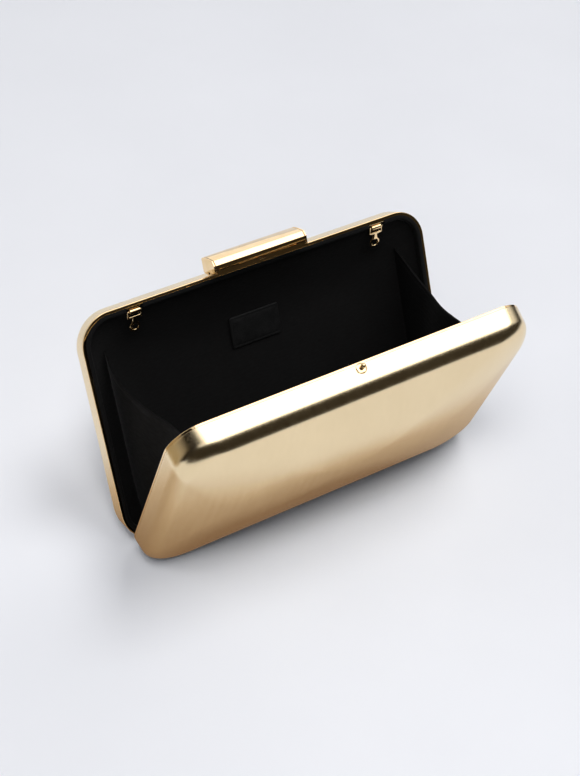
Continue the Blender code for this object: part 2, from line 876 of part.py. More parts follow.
def make_strap_tab(word, x):
    """Make a strap tab: a square loop on the clip, a neck and a round eye."""
    half = tab_loop_width / 2
    neck = tab_neck_width / 2
    top = tab_bar_width / 2
    loop_low = top - tab_loop_height
    eye_side = (tab_eye_radius ** 2 - neck ** 2) ** 0.5
    start = pi / 2 - atan(neck / eye_side)
    end = atan(neck / eye_side) - 3 * pi / 2
    eye = arc(tab_eye_radius, 0, -tab_eye_drop, start, end, round_steps)
    shape = [
        (-half, top),
        (half, top),
        (half, loop_low),
        (neck, loop_low - tab_shoulder_drop),
        *eye,
        (-neck, loop_low - tab_shoulder_drop),
        (-half, loop_low),
    ]
    window_low = loop_low + tab_bar_width
    side_bar = half - tab_bar_width + running_gap
    window = [(-side_bar, -top), (side_bar, -top), (side_bar, window_low), (-side_bar, window_low)]
    hole = circle(tab_eye_hole_radius, 0, -tab_eye_drop, fine_steps)
    tab = flat_curve(f"strap_tab_{word}", [shape, window, hole], tab_thickness)
    tab.rotation_euler = (pi / 2 + lean, 0, 0)
    tab.location = (x, tab_pivot_depth, tab_pivot_height())
    keep(tab, f"strap_tab_{word}", polished_gold, rear_half)


def notch_liner(word, x):
    """Cut the rear lining's wall away around a clip and its rivet."""
    half = tab_loop_width / 2 + 2 * clearance
    low = tab_pivot_height() - clip_thickness
    back = clip_tail_depth + 2 * clearance
    notch = box((x - half, -overrun, low), (x + half, back, case_height + overrun))
    boolean(rear_liner, tool(notch, f"rear_liner_notch_{word}", rear_half), "DIFFERENCE")


def make_tabs():
    """Make both strap tabs with their clips and rivets."""
    places = (
        ("left", tab_left_setback - case_width / 2),
        ("right", case_width / 2 - tab_right_setback),
    )
    for word, x in places:
        make_tab_clip(word, x)
        make_tab_rivet(word, x)
        make_strap_tab(word, x)
        notch_liner(word, x)


def outline_distance(x, height, share):
    """Give how far a point lies outside the lining's outline at a share of the bowl."""
    depth = bowl_depth(share)
    inset = liner_inset + bowl_width * share
    radius = liner_radius(share)
    half = case_width / 2 - side_draft_share * depth - inset
    top = case_height - top_draft_share * depth - inset
    bottom = bottom_draft_share * depth + inset
    across = abs(x) - half + radius
    upward = abs(height - (top + bottom) / 2) - (top - bottom) / 2 + radius
    corner = Vector((max(across, 0), max(upward, 0))).length
    return corner + min(max(across, upward), 0) - radius


def liner_face(x, height):
    """Give the depth of the lining's inner face, made of flat strips, at a place."""
    low, high = 0.0, 1.0
    for _ in range(halving_steps):
        share = (low + high) / 2
        if outline_distance(x, height, share) < 0:
            low = share
        else:
            high = share
    shares = (0, *bowl_ring_shares)
    last = len(shares) - 2
    strip = min(sum(share >= other for other in shares[1:]), last)
    start, end = shares[strip], shares[strip + 1]
    slope = (bowl_depth(end) - bowl_depth(start)) / (end - start)
    slant = (1 + (slope / bowl_width) ** 2) ** 0.5
    return bowl_depth(start) + slope * (share - start) - liner_thickness * slant


def make_label():
    """Make the bare leather patch on the rear lining."""
    low = label_middle - label_height / 2
    high = label_middle + label_height / 2
    slope = atan((liner_face(0, low) - liner_face(0, high)) / label_height)
    middle_depth = (liner_face(0, low) + liner_face(0, high)) / 2 - clearance - label_thickness / 2
    label = box(
        (-label_width / 2, -label_thickness / 2, -label_height / 2),
        (label_width / 2, label_thickness / 2, label_height / 2),
    )
    bevel = label.modifiers.new("corners", "BEVEL")
    bevel.width = label_thickness / 4
    bevel.segments = 1
    label.location = (0, middle_depth - clearance, label_middle)
    label.rotation_euler = (slope, 0, 0)
    keep(label, "label_patch", label_black, rear_half)


def make_gusset(word, side):
    """Make a side gusset: a sheet slung between the two linings.

    It sags most towards the rear and folds inwards most towards the front.
    """
    bm = bmesh.new()
    rows = []
    for level in range(gusset_steps + 1):
        share = level / gusset_steps
        height = gusset_low + (gusset_high - gusset_low) * share
        depth = liner_face(gusset_place + gusset_thickness, height) - clearance
        edge = depth * cos(lean) + height * sin(lean)
        up = hinge_height + height * cos(lean) - depth * sin(lean)
        row = []
        for step in range(gusset_steps + 1):
            across = 1 - 2 * step / gusset_steps
            slack = 1 - across ** 2
            fold = (gusset_fold - gusset_fold_shift * across / 2) * slack
            sag = (gusset_sag + gusset_sag_shift * across / 2) * slack
            x = side * (gusset_place - fold * share)
            z = up - sag * share ** 2
            row.append(bm.verts.new((x, edge * across, z)))
        rows.append(row)
    for low, high in zip(rows, rows[1:]):
        for index in range(gusset_steps):
            bm.faces.new((low[index], low[index + 1], high[index + 1], high[index]))
    sheet = mesh_object(f"gusset_{word}", bm)
    solidify = sheet.modifiers.new("thickness", "SOLIDIFY")
    solidify.thickness = gusset_thickness
    solidify.offset = 0
    keep(sheet, f"gusset_{word}", gusset_black, None)


make_hinge_pin()
make_clasp_base()
make_clasp_lever()
make_clasp_cover()
make_clasp_caps()
make_clasp_pin()
make_clasp_spring()
make_clasp_rivets()
make_stud()
make_tabs()
make_label()
make_gusset("left", -1)
make_gusset("right", 1)
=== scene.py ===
from math import asin, atan, cos, hypot, pi, radians, sin, tan

import bpy
import bmesh
from mathutils import Matrix, Vector


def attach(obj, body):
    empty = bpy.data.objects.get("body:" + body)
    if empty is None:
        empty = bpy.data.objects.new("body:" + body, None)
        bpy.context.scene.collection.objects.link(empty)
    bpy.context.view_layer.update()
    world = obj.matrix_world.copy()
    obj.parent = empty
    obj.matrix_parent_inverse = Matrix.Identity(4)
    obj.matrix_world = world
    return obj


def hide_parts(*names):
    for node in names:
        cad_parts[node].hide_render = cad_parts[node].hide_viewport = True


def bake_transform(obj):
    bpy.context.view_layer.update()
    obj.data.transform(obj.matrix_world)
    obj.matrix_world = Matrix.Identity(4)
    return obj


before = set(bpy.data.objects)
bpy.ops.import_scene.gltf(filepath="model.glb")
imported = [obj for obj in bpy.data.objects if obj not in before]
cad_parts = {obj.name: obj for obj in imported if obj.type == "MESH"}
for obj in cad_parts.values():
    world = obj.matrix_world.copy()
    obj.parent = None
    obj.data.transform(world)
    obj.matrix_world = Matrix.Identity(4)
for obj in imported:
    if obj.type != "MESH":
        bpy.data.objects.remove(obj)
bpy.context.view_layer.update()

# Case, in metres; each half has its own frame: X, depth from the rim plane, height
case_width = 0.192
case_height = 0.117
corner_radius = 0.016
lean = radians(43.75) / 2
rim_depth = 0.0003
clearance = 0.0003
side_draft = 0.02
top_draft = 0.10
bottom_draft = 0.02
corner_growth = 0.14
shell_start = 0.00153
shell_turn_radius = 0.00015
shell_thickness = 0.0015
shell_depth = 0.0255
wall_depth = 0.008
edge_radius = 0.0083
edge_sweep = radians(72)
dome_round_share = 0.6
dome_roundness = 0.96
hinge_height = 0.003363

# Rim frames
lip_end = 0.0015
lip_round = 0.00035
leg_inset = 0.0018
lip_inset = 0.0026
leg_depth = 0.0073
hinge_length = 0.126
knuckle_count = 7
knuckle_radius = 0.0014
hinge_bore_radius = 0.00075

# Linings
liner_inset = 0.0029
liner_wall_depth = 0.004
liner_depth = 0.017
liner_thickness = 0.001
floor_height = 0.0412
floor_corner_share = 0.945
bowl_width = (case_height - (top_draft + bottom_draft) * liner_depth - floor_height) / 2 - liner_inset
liner_rim_radius = corner_radius + corner_growth * liner_wall_depth - liner_inset
liner_floor_radius = floor_corner_share * floor_height / 2

# Edge of a lining, turned over the rim frame
outer_wall_depths = (0.003, 0.002, 0.00155)
turned_back = 0.00029
turned_face = 0.0001
turned_inset = 0.0016
turned_ease = 0.0001
turned_radius = 0.0009
inner_wall_depths = (0.002, 0.0028)
inner_wall_flare = 0.00005

# Counts of points
corner_steps = 20
long_steps = 48
short_steps = 28
turn_steps = 4
wall_steps = 6
edge_steps = 16
dome_steps = 36
lip_steps = 6
rod_steps = 32
bowl_steps = 26
floor_steps = 12
search_steps = 30
bevel_steps = 3
lathe_steps = 48

# Angles above which an edge stays sharp
turned_crease = radians(35)
cut_crease = radians(40)
soft_crease = radians(50)


def place(side, x, depth, height):
    """Give the world point of a place in a half; side is 1 at the rear, -1 in front."""
    y = depth * cos(lean) + height * sin(lean)
    z = hinge_height + height * cos(lean) - depth * sin(lean)
    return Vector((x, side * y, z))


def place_ring(side, depth, ring):
    """Give the world points of a ring at one depth of a half."""
    return [place(side, x, depth, height) for x, height, _, _ in ring]


def unroll(ring, reach):
    """Lay a ring on the flat material, moved outwards by a reach."""
    return [Vector((x + nx * reach, height + nh * reach, 0)) for x, height, nx, nh in ring]


def outline_sides(depth, inset):
    """Give the half width, top and bottom of a half's outline at a depth and an inset."""
    half = case_width / 2 - side_draft * depth - inset
    return half, case_height - top_draft * depth - inset, bottom_draft * depth + inset


def outline(depth, inset, radius):
    """Give the ring of a half's outline at a depth and an inset."""
    return rounded_ring(*outline_sides(depth, inset), radius)


def circle_points(radius, up=0.0, start=0.0, sweep=2 * pi, steps=40):
    """Give the points of an arc, both ends with it, about a middle at a height."""
    angles = [start + sweep * step / steps for step in range(steps + 1)]
    return [(radius * cos(angle), up + radius * sin(angle)) for angle in angles]


def rounded_ring(half, top, bottom, radius):
    """Give (x, height, normal x, normal height) round a rounded outline."""
    centres = (
        (half - radius, top - radius, long_steps),
        (radius - half, top - radius, short_steps),
        (radius - half, bottom + radius, long_steps),
        (half - radius, bottom + radius, short_steps),
    )
    corners = []
    for quarter, (x, height, _) in enumerate(centres):
        corner = []
        for step in range(corner_steps + 1):
            angle = (quarter + step / corner_steps) * pi / 2
            normal = (cos(angle), sin(angle))
            corner.append((x + radius * normal[0], height + radius * normal[1], *normal))
        corners.append(corner)
    points = []
    for index, corner in enumerate(corners):
        points.extend(corner)
        start = Vector(corner[-1])
        end = Vector(corners[(index + 1) % len(corners)][0])
        steps = centres[index][2]
        points.extend(tuple(start.lerp(end, step / steps)) for step in range(1, steps))
    return points


def add_object(name, data):
    """Add an object with its data to the scene."""
    obj = bpy.data.objects.new(name, data)
    bpy.context.scene.collection.objects.link(obj)
    return obj


def mesh_object(name, bm, finish):
    """Turn a bmesh into a smooth-shaded object with a finish."""
    mesh = bpy.data.meshes.new(name)
    bm.to_mesh(mesh)
    bm.free()
    obj = add_object(name, mesh)
    obj.data.materials.append(finish)
    obj.data.shade_smooth()
    return obj


def evaluated_mesh(obj):
    """Give the mesh that an object's curve or modifiers make."""
    bpy.context.view_layer.update()
    graph = bpy.context.evaluated_depsgraph_get()
    return bpy.data.meshes.new_from_object(obj.evaluated_get(graph))


def combine(obj, other, operation):
    """Cut an object with another, or join the other to it, and drop the other."""
    modifier = obj.modifiers.new(operation, "BOOLEAN")
    modifier.object = other
    modifier.operation = operation
    modifier.solver = "EXACT"
    mesh = evaluated_mesh(obj)
    obj.modifiers.clear()
    obj.data = mesh
    bpy.data.objects.remove(other, do_unlink=True)


def add_rows(bm, rows, sheet):
    """Add rows of vertices, with their places on the unrolled material where sheet gives them."""
    layer = bm.verts.layers.float_vector.get("sheet")
    made = []
    for row, flat in zip(rows, sheet or rows):
        verts = []
        for point, spot in zip(row, flat):
            vertex = bm.verts.new(point)
            if layer:
                vertex[layer] = spot
            verts.append(vertex)
        made.append(verts)
    return made


def bridge(bm, low, high, closed=True):
    """Join two rows of vertices with a strip of faces."""
    count = len(low)
    for index in range(count if closed else count - 1):
        after = (index + 1) % count
        bm.faces.new((low[index], low[after], high[after], high[index]))


def skin(rows, sheet=None, round_again=False, fans=0):
    """Skin closed rows of points; sheet gives each point's place on the unrolled material.

    One fan closes the last row to a middle point, and two close both end rows.
    """
    bm = bmesh.new()
    layer = bm.verts.layers.float_vector.new("sheet") if sheet else None
    made = add_rows(bm, rows, sheet)
    pairs = list(zip(made, made[1:]))
    if round_again:
        pairs.append((made[-1], made[0]))
    for low, high in pairs:
        bridge(bm, low, high)
    for last in (made[0], made[-1])[2 - fans:]:
        centre = bm.verts.new(sum((vertex.co for vertex in last), Vector()) / len(last))
        if layer:
            centre[layer] = sum((vertex[layer] for vertex in last), Vector()) / len(last)
        for index in range(len(last)):
            bm.faces.new((last[index], last[(index + 1) % len(last)], centre))
    bmesh.ops.recalc_face_normals(bm, faces=bm.faces)
    return bm


def face_away(bm, side):
    """Turn a bowl's faces so that they look away from the rim plane."""
    bm.faces.ensure_lookup_table()
    outward = Vector((0, side * cos(lean), -sin(lean)))
    if bm.faces[-1].normal.dot(outward) < 0:
        bmesh.ops.reverse_faces(bm, faces=bm.faces)


def dress(obj, body, node):
    """Let a piece ride a body in place of a CAD node."""
    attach(obj, body)
    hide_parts(node)


def maths(tree, operation, *values):
    """Give the result of an operation on numbers and outputs of nodes."""
    made = tree.nodes.new("ShaderNodeMath")
    made.operation = operation
    for value, target in zip(values, made.inputs):
        if isinstance(value, float):
            target.default_value = value
        else:
            tree.links.new(value, target)
    return made.outputs["Value"]


def first_sight(tree, strength):
    """Give a strength that is nought once light has come off a matt surface."""
    half_bounce = 0.5
    depth = tree.nodes.new("ShaderNodeLightPath").outputs["Diffuse Depth"]
    return maths(tree, "MULTIPLY", maths(tree, "LESS_THAN", depth, half_bounce), strength)


def fill(node, **values):
    """Set inputs of a node by their names."""
    for key, value in values.items():
        node.inputs[key.replace("_", " ")].default_value = value


class Paint:
    """Builds one node material."""

    def __init__(self, name):
        self.material = bpy.data.materials.new(name)
        self.material.use_nodes = True
        self.tree = self.material.node_tree
        self.shader = self.tree.nodes["Principled BSDF"]

    def node(self, kind, **settings):
        made = self.tree.nodes.new("ShaderNode" + kind)
        for key, value in settings.items():
            setattr(made, key, value)
        return made

    def link(self, source, target):
        self.tree.links.new(source, target)

    def sheet(self, scale, attribute="sheet"):
        """Give coordinates on the unrolled material, or in the object, scaled."""
        if attribute:
            source = self.node("Attribute", attribute_name=attribute).outputs["Vector"]
        else:
            source = self.node("TexCoord").outputs["Object"]
        scaled = self.node("VectorMath", operation="MULTIPLY")
        self.link(source, scaled.inputs[0])
        scaled.inputs[1].default_value = scale
        return scaled.outputs["Vector"]

    def split(self, vector):
        """Give the outputs of a vector's three axes."""
        made = self.node("SeparateXYZ")
        self.link(vector, made.inputs["Vector"])
        return made.outputs

    def distance(self, scale):
        """Give the distance from the object's origin, in scaled coordinates."""
        made = self.node("VectorMath", operation="LENGTH")
        self.link(self.sheet(scale, None), made.inputs[0])
        return made.outputs["Value"]

    def noise(self, scale, detail, attribute="sheet"):
        """Give noise in scaled coordinates of the unrolled material, or of the object."""
        made = self.node("TexNoise")
        fill(made, Scale=1.0, Detail=detail, Roughness=0.5)
        self.link(self.sheet(scale, attribute), made.inputs["Vector"])
        return made.outputs["Fac"]

    def span(self, value, low, high, start=0.3, end=0.7, interpolation="LINEAR"):
        """Map a value from one range to another."""
        made = self.node("MapRange", interpolation_type=interpolation)
        self.link(value, made.inputs["Value"])
        fill(made, From_Min=start, From_Max=end, To_Min=low, To_Max=high)
        return made.outputs["Result"]

    def sum(self, *terms):
        """Add up (value, weight) pairs."""
        total = 0.0
        for value, weight in terms:
            total = maths(self.tree, "MULTIPLY_ADD", value, weight, total)
        return total

    def blend(self, factor, dark, light):
        """Blend two colours by a factor."""
        made = self.node("Mix", data_type="RGBA")
        self.link(factor, made.inputs["Factor"])
        fill(made, A=(*dark, 1), B=(*light, 1))
        return made.outputs["Result"]

    def colour(self, factor, dark, light):
        """Blend two colours by a factor into the base colour."""
        self.link(self.blend(factor, dark, light), self.shader.inputs["Base Color"])

    def glow(self, colour, strength):
        """Give a surface that shines with a colour."""
        made = self.node("Emission")
        self.link(colour, made.inputs["Color"])
        self.link(first_sight(self.tree, strength), made.inputs["Strength"])
        return made.outputs["Emission"]

    def cover(self, under, over, share):
        """Cover one surface with another by a share."""
        mix = self.node("MixShader")
        self.link(share, mix.inputs["Fac"])
        self.link(under, mix.inputs[1])
        self.link(over, mix.inputs[2])
        return mix.outputs["Shader"]

    def faded(self, surface, share):
        """Let a surface show by a share, and be clear for the rest."""
        clear = self.node("BsdfTransparent")
        return self.cover(clear.outputs["BSDF"], surface, share)

    def show(self, surface):
        """Make a surface the material's own, and give the material."""
        self.link(surface, self.tree.nodes["Material Output"].inputs["Surface"])
        return self.material

    def set(self, **values):
        fill(self.shader, **values)

    def rough(self, value):
        self.link(value, self.shader.inputs["Roughness"])

    def bump(self, height, distance):
        made = self.node("Bump")
        fill(made, Distance=distance, Strength=1.0)
        self.link(height, made.inputs["Height"])
        self.link(made.outputs["Normal"], self.shader.inputs["Normal"])


def foil_gold():
    """Metallic foil on leather cloth: faint streaks along its length and a fine grain."""
    paint = Paint("foil_gold")
    fine = paint.noise((1700, 160, 1700), 2.0)
    broad = paint.noise((420, 30, 420), 2.0)
    grain = paint.noise((2600, 2600, 2600), 2.0)
    cloud = paint.noise((45, 30, 45), 3.0)
    tone = paint.sum((fine, 0.35), (broad, 0.25), (cloud, 0.4))
    paint.colour(paint.span(tone, 0, 1), dark=(0.83, 0.665, 0.41), light=(0.915, 0.745, 0.475))
    paint.rough(paint.span(paint.sum((grain, 0.5), (broad, 0.5)), low=0.18, high=0.25))
    paint.set(Metallic=1.0)
    paint.bump(paint.sum((fine, 0.8), (grain, 0.9)), distance=0.000013)
    return paint.material


def polished_gold():
    """Polished plated metal with faint hairlines and smudges."""
    paint = Paint("polished_plate")
    scratch = paint.noise((120, 3000, 3000), 2.0, None)
    smudge = paint.noise((160, 160, 160), 3.0, None)
    paint.colour(paint.span(smudge, 0, 1), dark=(0.88, 0.64, 0.34), light=(0.94, 0.71, 0.41))
    paint.rough(paint.span(paint.sum((smudge, 0.6), (scratch, 0.4)), low=0.03, high=0.07))
    paint.set(Metallic=1.0)
    paint.bump(scratch, distance=0.0000003)
    return paint.material


def spring_steel():
    """Drawn spring wire."""
    paint = Paint("spring_wire")
    drawn = paint.noise((900, 900, 900), 2.0, None)
    paint.colour(paint.span(drawn, 0, 1), dark=(0.45, 0.45, 0.46), light=(0.62, 0.62, 0.63))
    paint.rough(paint.span(drawn, low=0.22, high=0.4))
    paint.set(Metallic=1.0)
    return paint.material


def woven_cloth(name, dark, light, pitch, gloss):
    """Plain woven cloth: warp and weft threads with slubs and a soft sheen."""
    paint = Paint(name)
    turns = pi / pitch
    axes = paint.split(paint.sheet((turns, turns, turns)))
    warp, weft = (maths(paint.tree, "SINE", axes[axis]) for axis in ("X", "Y"))
    crossing = maths(paint.tree, "MULTIPLY", warp, weft)
    slub = paint.noise((300, 900, 300), 3.0)
    cloud = paint.noise((60, 60, 60), 3.0)
    tone = paint.sum((crossing, 0.25), (slub, 0.5), (cloud, 0.5))
    paint.colour(paint.span(tone, 0, 1, start=0.2, end=0.8), dark, light)
    paint.rough(paint.span(slub, low=0.72, high=0.9))
    paint.set(Sheen_Weight=0.03, Sheen_Roughness=0.4, Specular_IOR_Level=gloss)
    paint.bump(paint.sum((crossing, 0.5), (slub, 0.6)), distance=0.00003)
    return paint.material


def label_leather():
    """Smooth black leather with a fine pebble grain."""
    paint = Paint("label_leather")
    pebble = paint.node("TexVoronoi", feature="F1")
    fill(pebble, Scale=1.0)
    paint.link(paint.sheet((2200, 2200, 2200)), pebble.inputs["Vector"])
    cloud = paint.noise((250, 250, 250), 3.0)
    distance = pebble.outputs["Distance"]
    tone = paint.span(paint.sum((distance, 0.6), (cloud, 0.4)), 0, 1)
    paint.colour(tone, dark=(0.004, 0.004, 0.004), light=(0.009, 0.009, 0.009))
    paint.rough(paint.span(cloud, low=0.42, high=0.58))
    paint.set(Specular_IOR_Level=0.14)
    paint.bump(paint.sum((distance, -1.0), (cloud, 0.3)), distance=0.00003)
    return paint.material


foil = foil_gold()
plate_gold = polished_gold()
steel = spring_steel()
lining_cloth = woven_cloth(
    "lining_cloth", dark=(0.0016, 0.0015, 0.0015), light=(0.0038, 0.0036, 0.0036),
    pitch=0.0004, gloss=0.18,
)
gusset_cloth = woven_cloth(
    "gusset_cloth", dark=(0.0008, 0.0007, 0.0007), light=(0.0022, 0.002, 0.002),
    pitch=0.0005, gloss=0.1,
)
label_finish = label_leather()


def shell_radius(depth):
    """Give the corner radius of a shell's outline at a depth."""
    return corner_radius + corner_growth * depth


def shell_places():
    """Give the depth, inset and unrolled length of each ring from a shell's rim to its dome."""
    edge = []
    for step in range(edge_steps + 1):
        angle = edge_sweep * step / edge_steps
        depth = wall_depth + edge_radius * sin(angle)
        edge.append((depth, edge_radius * (1 - cos(angle)), edge_radius * (edge_sweep - angle)))
    foot = edge[0][2] + wall_depth
    places = []
    for step in range(turn_steps, -1, -1):
        angle = pi / 2 * step / turn_steps
        depth = shell_start + shell_turn_radius * (1 - sin(angle))
        places.append((depth, shell_turn_radius * (1 - cos(angle)), foot - depth))
    wall_start = shell_start + shell_turn_radius
    for step in range(1, wall_steps):
        depth = wall_start + (wall_depth - wall_start) * step / wall_steps
        places.append((depth, 0, foot - depth))
    return places + edge


def dome_rings(end_depth, border):
    """Give the depth and ring of each step of the dome inside the rounded edge's border.

    The dome leaves the border with the slope that the rounded edge ends on.
    """
    span = max(point[0] for point in border)
    top = max(point[1] for point in border)
    bottom = min(point[1] for point in border)
    middle, rise = (top + bottom) / 2, (top - bottom) / 2
    dome = shell_depth - end_depth
    start_roundness = shell_radius(end_depth) / rise
    bulge = (4 - rise * tan(pi / 2 - edge_sweep) / dome) / 2
    rings = []
    for step in range(1, dome_steps):
        share = step / dome_steps
        left = 1 - share
        round_share = min(share / dome_round_share, 1)
        round_share *= round_share * (3 - 2 * round_share)
        roundness = start_roundness / left * (1 - round_share) + dome_roundness * round_share
        half = span - rise * share - (span - rise) * share ** 3
        high, low = middle + rise * left, middle - rise * left
        depth = end_depth + dome * (bulge * (1 - left ** 2) + (1 - bulge) * (1 - left ** 4))
        rings.append((depth, rounded_ring(half, high, low, rise * left * roundness)))
    return rings


def make_case(word, side):
    """Make a shell: turned-in rim edge, wall, rounded edge and domed face."""
    places = shell_places()
    end_depth, end_inset, _ = places[-1]
    border = outline(end_depth, end_inset, shell_radius(end_depth))
    rows, sheet = [], []
    for depth, inset, unrolled in places:
        ring = outline(depth, inset, shell_radius(depth) - min(inset, shell_turn_radius))
        rows.append(place_ring(side, depth, ring))
        sheet.append(unroll(border, unrolled))
    for depth, ring in dome_rings(end_depth, border):
        rows.append(place_ring(side, depth, ring))
        sheet.append(unroll(ring, 0))
    bm = skin(rows, sheet, fans=1)
    face_away(bm, side)
    obj = mesh_object(f"{word}_case", bm, foil)
    solidify = obj.modifiers.new("thickness", "SOLIDIFY")
    solidify.thickness = shell_thickness
    solidify.offset = -1
    dress(obj, f"{word}_half", f"{word}_shell")


def rim_section():
    """Give the rim frame's section as (inset, depth) points, its lip's edges rounded."""
    points = [(0, lip_end)]
    for middle, start in ((lip_round, pi), (lip_inset - lip_round, pi / 2)):
        for step in range(lip_steps + 1):
            angle = start - pi / 2 * step / lip_steps
            points.append((middle + lip_round * cos(angle), rim_depth + lip_round * (1 - sin(angle))))
    points.extend([(lip_inset, leg_depth), (leg_inset, leg_depth), (leg_inset, lip_end)])
    return points


def knuckle_spans(first):
    """Give the X spans of every second knuckle of the hinge."""
    pitch = hinge_length / knuckle_count
    spans = []
    for index in range(first, knuckle_count, 2):
        start = index * pitch - hinge_length / 2
        spans.append((start + clearance / 2, start + pitch - clearance / 2))
    return spans


def rods(name, radius, spans):
    """Make closed rods along the hinge line."""
    bm = bmesh.new()
    section = circle_points(radius, hinge_height, pi / rod_steps, steps=rod_steps)[:-1]
    for start, end in spans:
        near, far = ([bm.verts.new((x, *spot)) for spot in section] for x in (start, end))
        bridge(bm, near, far)
        bm.faces.new(near)
        bm.faces.new(far)
    bmesh.ops.recalc_face_normals(bm, faces=bm.faces)
    return mesh_object(name, bm, plate_gold)


def make_rim(word, side, own, other):
    """Make a rim frame with its own knuckles, and room for the other frame's."""
    rows = []
    for inset, depth in rim_section():
        rows.append(place_ring(side, depth, outline(depth, inset, shell_radius(depth) - inset)))
    bm = skin(rows, round_again=True)
    obj = mesh_object(f"{word}_rim", bm, plate_gold)
    wide = [(start - clearance, end + clearance) for start, end in other]
    combine(obj, rods("rooms", knuckle_radius + clearance, wide), "DIFFERENCE")
    combine(obj, rods("knuckles", knuckle_radius, own), "UNION")
    bore = [(-hinge_length, hinge_length)]
    combine(obj, rods("bore", hinge_bore_radius, bore), "DIFFERENCE")
    obj.data.set_sharp_from_angle(angle=turned_crease)
    dress(obj, f"{word}_half", f"{word}_rim_frame")


def bowl_place(share):
    """Give depth, inset and corner radius of a lining's outer face at a share of the bowl."""
    depth = liner_wall_depth + (liner_depth - liner_wall_depth) * (1 - (1 - share) ** 2)
    radius = liner_rim_radius + (liner_floor_radius - liner_rim_radius) * share
    return depth, liner_inset + bowl_width * share, radius


def bowl_slope(share):
    """Give how fast the bowl deepens inwards at a share of its width."""
    return 2 * (liner_depth - liner_wall_depth) * (1 - share) / bowl_width


def outline_distance(x, height, share):
    """Give how far a point lies outside the lining's outline at a share of the bowl."""
    depth, inset, radius = bowl_place(share)
    half, top, bottom = outline_sides(depth, inset)
    across = abs(x) - half + radius
    upward = abs(height - (top + bottom) / 2) - (top - bottom) / 2 + radius
    corner = hypot(max(across, 0), max(upward, 0))
    return corner + min(max(across, upward), 0) - radius


def liner_face(x, height):
    """Give the depth of the lining's inner face at a place."""
    low, high = 0.0, 1.0
    for _ in range(search_steps):
        share = (low + high) / 2
        if outline_distance(x, height, share) < 0:
            low = share
        else:
            high = share
    return bowl_place(share)[0] - liner_thickness * hypot(1, bowl_slope(share))


def turned_edge():
    """Give (depth, inset) over a lining's edge: up its wall, over the frame and down inside."""
    edge = [(depth, liner_inset) for depth in outer_wall_depths]
    edge.extend([
        (turned_back, liner_inset - turned_ease),
        (turned_back, turned_inset + turned_ease),
        (turned_back - 0.3 * turned_ease, turned_inset),
        (turned_face + turned_ease, turned_inset),
        (turned_face + 0.3 * turned_ease, turned_inset + 0.6 * turned_ease),
        (turned_face, turned_inset + 2 * turned_ease),
    ])
    far = liner_inset + liner_thickness
    steps = 8
    for step in range(steps + 1):
        angle = pi / 2 * step / steps
        depth = turned_face + turned_radius * (1 - cos(angle))
        edge.append((depth, far - turned_radius * (1 - sin(angle))))
    edge.extend(zip(inner_wall_depths, (far, far + inner_wall_flare)))
    return edge


def lining_places():
    """Give a lining's rings, from the middle of its outer face over its edge to the inner one.

    Each is (depth, inset, corner radius, depth of the outer face there).
    """
    outer, inner = [], []
    for step in range(bowl_steps + 1):
        share = step / bowl_steps
        depth, inset, radius = bowl_place(share)
        slope = bowl_slope(share)
        slant = hypot(1, slope)
        into = liner_thickness * slope / slant
        outer.append((depth, inset, radius, depth))
        inner.append((depth - liner_thickness / slant, inset + into, radius - into, depth))
    rim = [(depth, inset, shell_radius(depth) - inset, depth) for depth, inset in turned_edge()]
    return outer[::-1] + rim + inner


def make_lining(word, side):
    """Make a lining: a shallow bowl with a wall and an edge turned over the frame."""
    rows, sheet = [], []
    places = lining_places()
    for depth, inset, radius, outer_depth in places:
        ring = outline(depth, inset, radius)
        rows.append(place_ring(side, depth, ring))
        sheet.append(unroll(ring, liner_depth - outer_depth))
    for last, is_outer in ((places[0], True), (places[-1], False)):
        floor = outline(*last[:3])
        middle = sum(height for _, height, _, _ in floor) / len(floor)
        for step in range(1, floor_steps):
            share = 1 - step / floor_steps
            ring = [(x * share, middle + (height - middle) * share, 0, 0) for x, height, _, _ in floor]
            spot = 0 if is_outer else len(rows)
            rows.insert(spot, place_ring(side, last[0], ring))
            sheet.insert(spot, unroll(ring, 0))
    bm = skin(rows, sheet, fans=2)
    return mesh_object(f"{word}_lining", bm, lining_cloth)


def half_box(side, low, high):
    """Make a box between two corners given in a half's own frame."""
    bm = bmesh.new()
    bmesh.ops.create_cube(bm, size=1)
    for vertex in bm.verts:
        spot = [low[axis] if vertex.co[axis] < 0 else high[axis] for axis in range(3)]
        vertex.co = place(side, *spot)
    bmesh.ops.recalc_face_normals(bm, faces=bm.faces)
    return mesh_object("box", bm, plate_gold)


# Strap tabs and their clips; the axis spot is the world Y and Z of the tabs' joints
tab_places = {"left": -0.0665, "right": 0.0697}
tab_pivot_depth = 0.0019
tab_pivot_height = 0.11251
tab_axis_spot = (0.043683, 0.107064)
tab_thickness = 0.0009
tab_rounding = 0.00036
tab_bar = 0.001
tab_side_bar = 0.0009
tab_loop_half = 0.0039
tab_loop_height = 0.0044
tab_corner_radius = 0.0005
tab_window_radius = 0.0003
tab_neck_half = 0.0016
tab_shoulder = 0.0004
tab_eye_drop = 0.0092
tab_eye_radius = 0.0029
tab_hole_radius = 0.0016
clip_width = 0.0054
clip_rounding = 0.00018
clip_reach = 0.007
clip_curl_radius = 0.0014
clip_thickness = 0.0005
clip_bore_radius = 0.00085
clip_curl_sweep = radians(300)
notch_half = 0.0045
notch_depth = 0.0076
notch_below = 0.0005
overrun = 0.002


def cut_notches(lining):
    """Cut the rear lining's turned edge away where the clips pass."""
    for x in tab_places.values():
        low = (x - notch_half, -overrun, tab_pivot_height - notch_below)
        high = (x + notch_half, notch_depth, case_height + overrun)
        combine(lining, half_box(1, low, high), "DIFFERENCE")
    lining.data.set_sharp_from_angle(angle=cut_crease)


